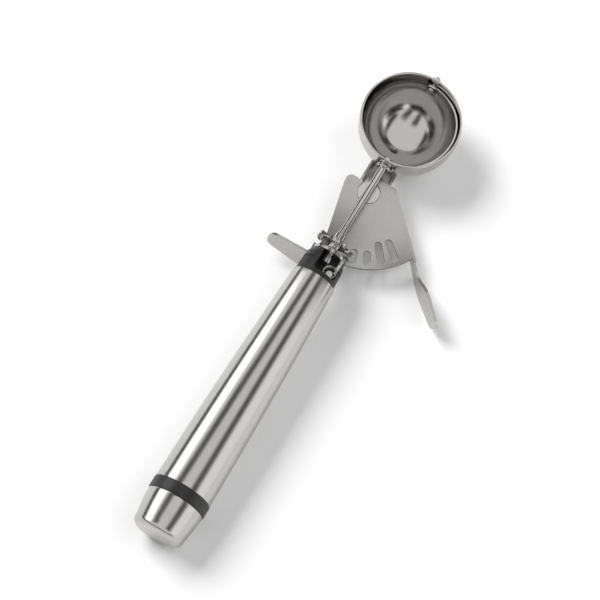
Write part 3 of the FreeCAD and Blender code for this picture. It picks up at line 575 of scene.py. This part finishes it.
def star_wheel():
    """Stamped wheel: round body with the blank lobe, six round-ended teeth, and the hub's hole."""
    low, high = reach("star_wheel")
    middle = (low.x + high.x) / 2
    turn = math.degrees(math.asin(tooth_width / wheel_radius / 2))
    half = tooth_width / 2
    tip = wheel_radius - half
    root = tooth_root_width / 2
    end = [(half * math.cos(a), -tip - half * math.sin(a)) for a in [math.pi * i / 16 for i in range(17)]]
    tooth = flat_outline("tooth", [(-root, 0), (root, 0), (half, -tip + half)] + end + [(-half, -tip + half)],
                         wheel_steel, wheel_thickness, 0.0)
    open_part = around(wheel_root_radius, 90 + lobe_half_angle, 450 - lobe_half_angle, 72)
    lobe = around(lobe_radius, 90 - lobe_half_angle + turn, 90 + lobe_half_angle - turn, 24)
    body = flat_outline("star_wheel_finished", open_part + lobe, wheel_steel, wheel_thickness, 0.0)
    tree, keys = wheel_tree()
    grown(body, tree, keys, {"Tooth": tooth, "Teeth": teeth, "First": math.radians(tooth_pitch / 2),
                             "Pitch": -math.radians(tooth_pitch)})
    bpy.data.objects.remove(tooth)
    body.data.transform(tool @ Matrix.Translation((middle, 0, 0)))
    drill_hole(body, bush_radius + fit, low.x - 1, high.x + 1)
    for face in body.data.polygons:
        face.use_smooth = True
    return placed(settled(body, 0.2), "shaft", "wheel_steel", "star_wheel")


def spring_line():
    """Centre line of the wire: a falling helix from the open hook, then a bent leg to the lever."""
    def on_helix(angle):
        turned = math.radians(angle)
        drop = (angle - spring_start_angle) / 360 * spring_pitch
        return Vector((spring_x + spring_radius * math.cos(turned),
                       spring_y + spring_radius * math.sin(turned), spring_top - drop))

    step = 5
    line = [on_helix(angle) for angle in range(int(spring_start_angle), int(spring_end_angle) + 1, step)]
    line.append(on_helix(spring_end_angle))
    leave = (line[-1] - line[-2]).normalized()
    arrive = Vector((1, 0, -spring_tip_slope)).normalized()
    start, tip = line[-1], Vector(spring_tip)
    run = (tip - start).length
    for i in range(1, 25):
        t = i / 24
        line.append(start * (2 * t ** 3 - 3 * t ** 2 + 1) + leave * run * (t ** 3 - 2 * t ** 2 + t)
                    + tip * (3 * t ** 2 - 2 * t ** 3) + arrive * run * (t ** 3 - t ** 2))
    return line


def return_spring():
    """Round wire swept along its line."""
    line = spring_line()
    mesh = bpy.data.meshes.new("return_spring_finished")
    mesh.from_pydata(line, [(i, i + 1) for i in range(len(line) - 1)], [])
    thing = mesh_object("return_spring_finished", mesh, wire_steel)
    tree, start, end, keys = shape_tree("wound_wire", {"Wire": "Float"})
    path = add_node(tree, "GeometryNodeMeshToCurve", links={"Mesh": start.outputs["Geometry"]})
    radius = add_node(tree, "ShaderNodeMath", {"operation": "MULTIPLY"}, {1: 0.5}, {0: start.outputs["Wire"]})
    section = add_node(tree, "GeometryNodeCurvePrimitiveCircle", sockets={"Resolution": 20},
                       links={"Radius": radius.outputs["Value"]})
    wire = add_node(tree, "GeometryNodeCurveToMesh", sockets={"Fill Caps": True},
                    links={"Curve": path.outputs["Curve"], "Profile Curve": section.outputs["Curve"]})
    finish_tree(tree, end, wire.outputs["Mesh"], wire_steel)
    grown(thing, tree, keys, {"Wire": spring_wire})
    thing.data.transform(tool)
    for face in thing.data.polygons:
        face.use_smooth = True
    return placed(settled(thing, 0.08, 60), "root", "spring_wire", "return_spring")


bowl()
handle()
end_cap()
star_wheel()
return_spring()
turned_piece("drive_shaft", "shaft", "turned_steel", turned_steel, 0.2)
turned_piece("wheel_hub", "shaft", "turned_steel", turned_steel, 1.4, shaft_radius + fit)
turned_piece("thrust_washer", "shaft", "turned_steel", turned_steel, 0.1, shaft_radius + fit)
placed(like_node("scraper_blade", blade_steel, 0.1), "shaft", "blade_steel", "scraper_blade")
placed(like_node("front_pivot_pin", turned_steel, 0.08), "root", "turned_steel", "front_pivot_pin")
placed(like_node("shaft_bush", turned_steel, 0.08), "root", "turned_steel", "shaft_bush")
placed(like_node("shaft_end_nut", turned_steel, 0.08), "shaft", "turned_steel", "shaft_end_nut")
# The lever's cut faces take painted shade, a darker colour standing in for dark reflections.
placed(like_node("lever_plate", lever_steel, 0.3, press_sheet_and_edge_shade), "lever", "lever_steel", "lever_plate")
placed(like_node("frame", frame_steel, 0.14), "root", "frame_steel", "frame")
placed(like_node("pivot_rivet", turned_steel, 0.08), "root", "turned_steel", "pivot_rivet")
placed(like_node("pivot_washer", turned_steel, 0.08), "root", "turned_steel", "pivot_washer")
placed(like_node("collar", black_plastic, 0.2), "root", "black_moulding", "collar")
placed(like_node("spring_post", turned_steel, 0.08), "root", "turned_steel", "spring_post")
placed(like_node("rear_ring", black_plastic, 0.1), "root", "black_moulding", "rear_ring")

for hidden in ("front_plug", "cross_pin", "tie_rod", "rod_washer", "rod_nut"):
    inner_piece = frame["nodes"][hidden]
    inner_piece.data.materials.clear()
    inner_piece.data.materials.append(black_plastic if hidden == "front_plug" else turned_steel)


# Floor, light and camera

def stage_material(name, colour, camera_lift):
    """Matt paper; camera and mirror rays see it lifted to white, and it keeps the shadow."""
    material = bpy.data.materials.new(name)
    material.use_nodes = True
    tree = material.node_tree
    tree.nodes.clear()
    paper = add_node(tree, "ShaderNodeBsdfDiffuse", sockets={"Color": linear(colour)})
    path = add_node(tree, "ShaderNodeLightPath")
    seen = add_node(tree, "ShaderNodeMath", {"operation": "MAXIMUM"}, {},
                    {0: path.outputs["Is Camera Ray"], 1: path.outputs["Is Glossy Ray"]})
    seen = add_node(tree, "ShaderNodeMath", {"operation": "MAXIMUM"}, {},
                    {0: seen.outputs["Value"], 1: path.outputs["Is Transmission Ray"]})
    lift = add_node(tree, "ShaderNodeMath", {"operation": "MULTIPLY"}, {1: camera_lift},
                    {0: seen.outputs["Value"]})
    glow = add_node(tree, "ShaderNodeEmission", links={"Strength": lift.outputs["Value"]})
    both = add_node(tree, "ShaderNodeAddShader",
                    links={0: paper.outputs["BSDF"], 1: glow.outputs["Emission"]})
    add_node(tree, "ShaderNodeOutputMaterial", links={"Surface": both.outputs["Shader"]})
    return material


def floor():
    """A pale table top under the scoop; past its edges mirrors see a dark room."""
    half = floor_half
    mesh = bpy.data.meshes.new("floor")
    corners = [(-half, -half, 0), (half, -half, 0), (half, half, 0), (-half, half, 0)]
    mesh.from_pydata(corners, [], [(0, 1, 2, 3)])
    thing = mesh_object("floor", mesh, stage_material("white_paper", "#F2F2F2", 0.05))


def set_over(thing, direction, distance, middle=(0, 0, 0), yaw=0.0):
    """Hangs a lamp or card in a direction from a point of the tool frame, its long side along the tool."""
    outward = direction.normalized()
    along = (tool_x - outward * tool_x.dot(outward)).normalized()
    across = outward.cross(along)
    place = from_tool(middle) + outward * distance
    thing.matrix_world = (Matrix.Translation(place) @ Matrix((along, across, outward)).transposed().to_4x4()
                          @ Matrix.Rotation(math.radians(yaw), 4, "Z"))


def towards(across, along):
    """A direction in the row frame; across is its angle from straight up to the left, along points ahead."""
    side = math.sqrt(1 - along ** 2)
    turn_across = math.radians(across)
    return (turn @ Vector((along, side * math.sin(turn_across), side * math.cos(turn_across)))).normalized()


def softbox(name, direction, distance, size, power):
    """A soft lamp that lights the table; mirrors see the cards instead."""
    lamp = bpy.data.lights.new(name, "AREA")
    lamp.shape = "RECTANGLE"
    lamp.size, lamp.size_y = size
    lamp.energy = power
    thing = bpy.data.objects.new(name, lamp)
    set_over(thing, direction, distance)
    thing.visible_camera = False
    thing.visible_glossy = False
    bpy.context.scene.collection.objects.link(thing)


def card(name, direction, distance, size, strength, soft=(0.2, 0.2), middle=(0, 0, 0), yaw=0.0):
    """A card that only mirrors see, its edges fading over a share of its half length and half width."""
    material = bpy.data.materials.new(name)
    material.use_nodes = True
    tree = material.node_tree
    tree.nodes.clear()
    place = add_node(tree, "ShaderNodeTexCoord")
    split = add_node(tree, "ShaderNodeSeparateXYZ", links={"Vector": place.outputs["Object"]})
    fades = []
    for axis, half, fade in (("X", size[0] / 2, soft[0]), ("Y", size[1] / 2, soft[1])):
        away = add_node(tree, "ShaderNodeMath", {"operation": "ABSOLUTE"}, {}, {0: split.outputs[axis]})
        fades.append(add_node(tree, "ShaderNodeMapRange", {"interpolation_type": "SMOOTHSTEP"},
                              {"From Min": half, "From Max": half * (1 - fade)},
                              {"Value": away.outputs["Value"]}))
    shown = add_node(tree, "ShaderNodeMath", {"operation": "MULTIPLY"}, {},
                     {0: fades[0].outputs["Result"], 1: fades[1].outputs["Result"]})
    glow = add_node(tree, "ShaderNodeEmission", sockets={"Strength": strength})
    clear = add_node(tree, "ShaderNodeBsdfTransparent")
    both = add_node(tree, "ShaderNodeMixShader", links={0: shown.outputs["Value"], 1: clear.outputs["BSDF"],
                                                        2: glow.outputs["Emission"]})
    add_node(tree, "ShaderNodeOutputMaterial", links={"Surface": both.outputs["Shader"]})
    mesh = bpy.data.meshes.new(name)
    w, h = size[0] / 2, size[1] / 2
    mesh.from_pydata([(-w, -h, 0), (w, -h, 0), (w, h, 0), (-w, h, 0)], [], [(0, 1, 2, 3)])
    thing = mesh_object(name, mesh, material)
    set_over(thing, direction, distance, middle, yaw)
    thing.visible_camera = False
    thing.visible_diffuse = False
    thing.visible_shadow = False


def surroundings(on_table, in_mirrors):
    """A white room for the camera, dim for the table and dark in mirrors."""
    world = bpy.data.worlds.new("studio")
    world.use_nodes = True
    tree = world.node_tree
    path = add_node(tree, "ShaderNodeLightPath")
    mirrored = add_node(tree, "ShaderNodeMapRange", sockets={"To Min": on_table, "To Max": in_mirrors},
                        links={"Value": path.outputs["Is Glossy Ray"]})
    seen = add_node(tree, "ShaderNodeMath", {"operation": "MAXIMUM"}, {},
                    {0: mirrored.outputs["Result"], 1: path.outputs["Is Camera Ray"]})
    background = tree.nodes["Background"]
    background.inputs["Color"].default_value = (1, 1, 1, 1)
    tree.links.new(seen.outputs["Value"], background.inputs["Strength"])
    bpy.context.scene.world = world


def studio():
    """A key from the left and a fill from the right for the table; cards for what the steel shows."""
    surroundings(0.22, 0.05)
    softbox("key", towards(48, 0.12), 1.6, (0.9, 0.85), 27.5)
    softbox("fill", towards(-40, 0.35), 1.5, (1.9, 1.9), 15.5)
    card("overhead_card", towards(0, 0.0), 1.2, (7.0, 6.0), 0.98, (0.25, 0.2), (-800, 0, 0))
    card("left_card", towards(61, 0.1), 1.1, (2.6, 0.64), 2.9)
    card("right_card", towards(-70, 0.1), 1.1, (2.6, 0.85), 1.28)
    # Two narrow black strips close above the handle and the shaft draw their dark lines.
    card("left_flag", towards(19, 0.0), 0.041, (0.216, 0.028), 0.10, (0.22, 0.7), (-122, 2, 11.8), -5.0)
    card("right_flag", towards(-36, 0.0), 0.044, (0.216, 0.030), 0.10, (0.22, 0.7), (-122, -3, 11.6), 1.0)
    # Three more stand round the mouth of the bowl, so that its wall has something dark to show.
    card("bowl_left_flag", towards(62, 0.0), 0.10, (0.14, 0.08), 0.04, (0.5, 0.4), (10, 0, 0))
    card("bowl_right_flag", towards(-62, 0.0), 0.10, (0.14, 0.08), 0.04, (0.5, 0.4), (10, 0, 0))
    card("bowl_front_flag", towards(0, 0.90), 0.11, (0.07, 0.15), 0.04, (0.4, 0.4))


def camera():
    """The photograph's view: a long lens behind and above the handle."""
    data = bpy.data.cameras.new("camera")
    data.lens = camera_lens
    data.sensor_width = camera_sensor
    data.clip_start, data.clip_end = 0.05, 50.0
    thing = bpy.data.objects.new("camera", data)
    right = Vector(camera_right)
    upward = Vector(camera_up)
    backward = right.cross(upward)
    look = Matrix((right, upward, backward)).transposed()
    thing.matrix_world = Matrix.Translation(from_tool(camera_place)) @ (turn @ look).to_4x4()
    bpy.context.scene.collection.objects.link(thing)
    bpy.context.scene.camera = thing


floor()
studio()
camera()
bpy.context.scene.view_settings.view_transform = "Standard"
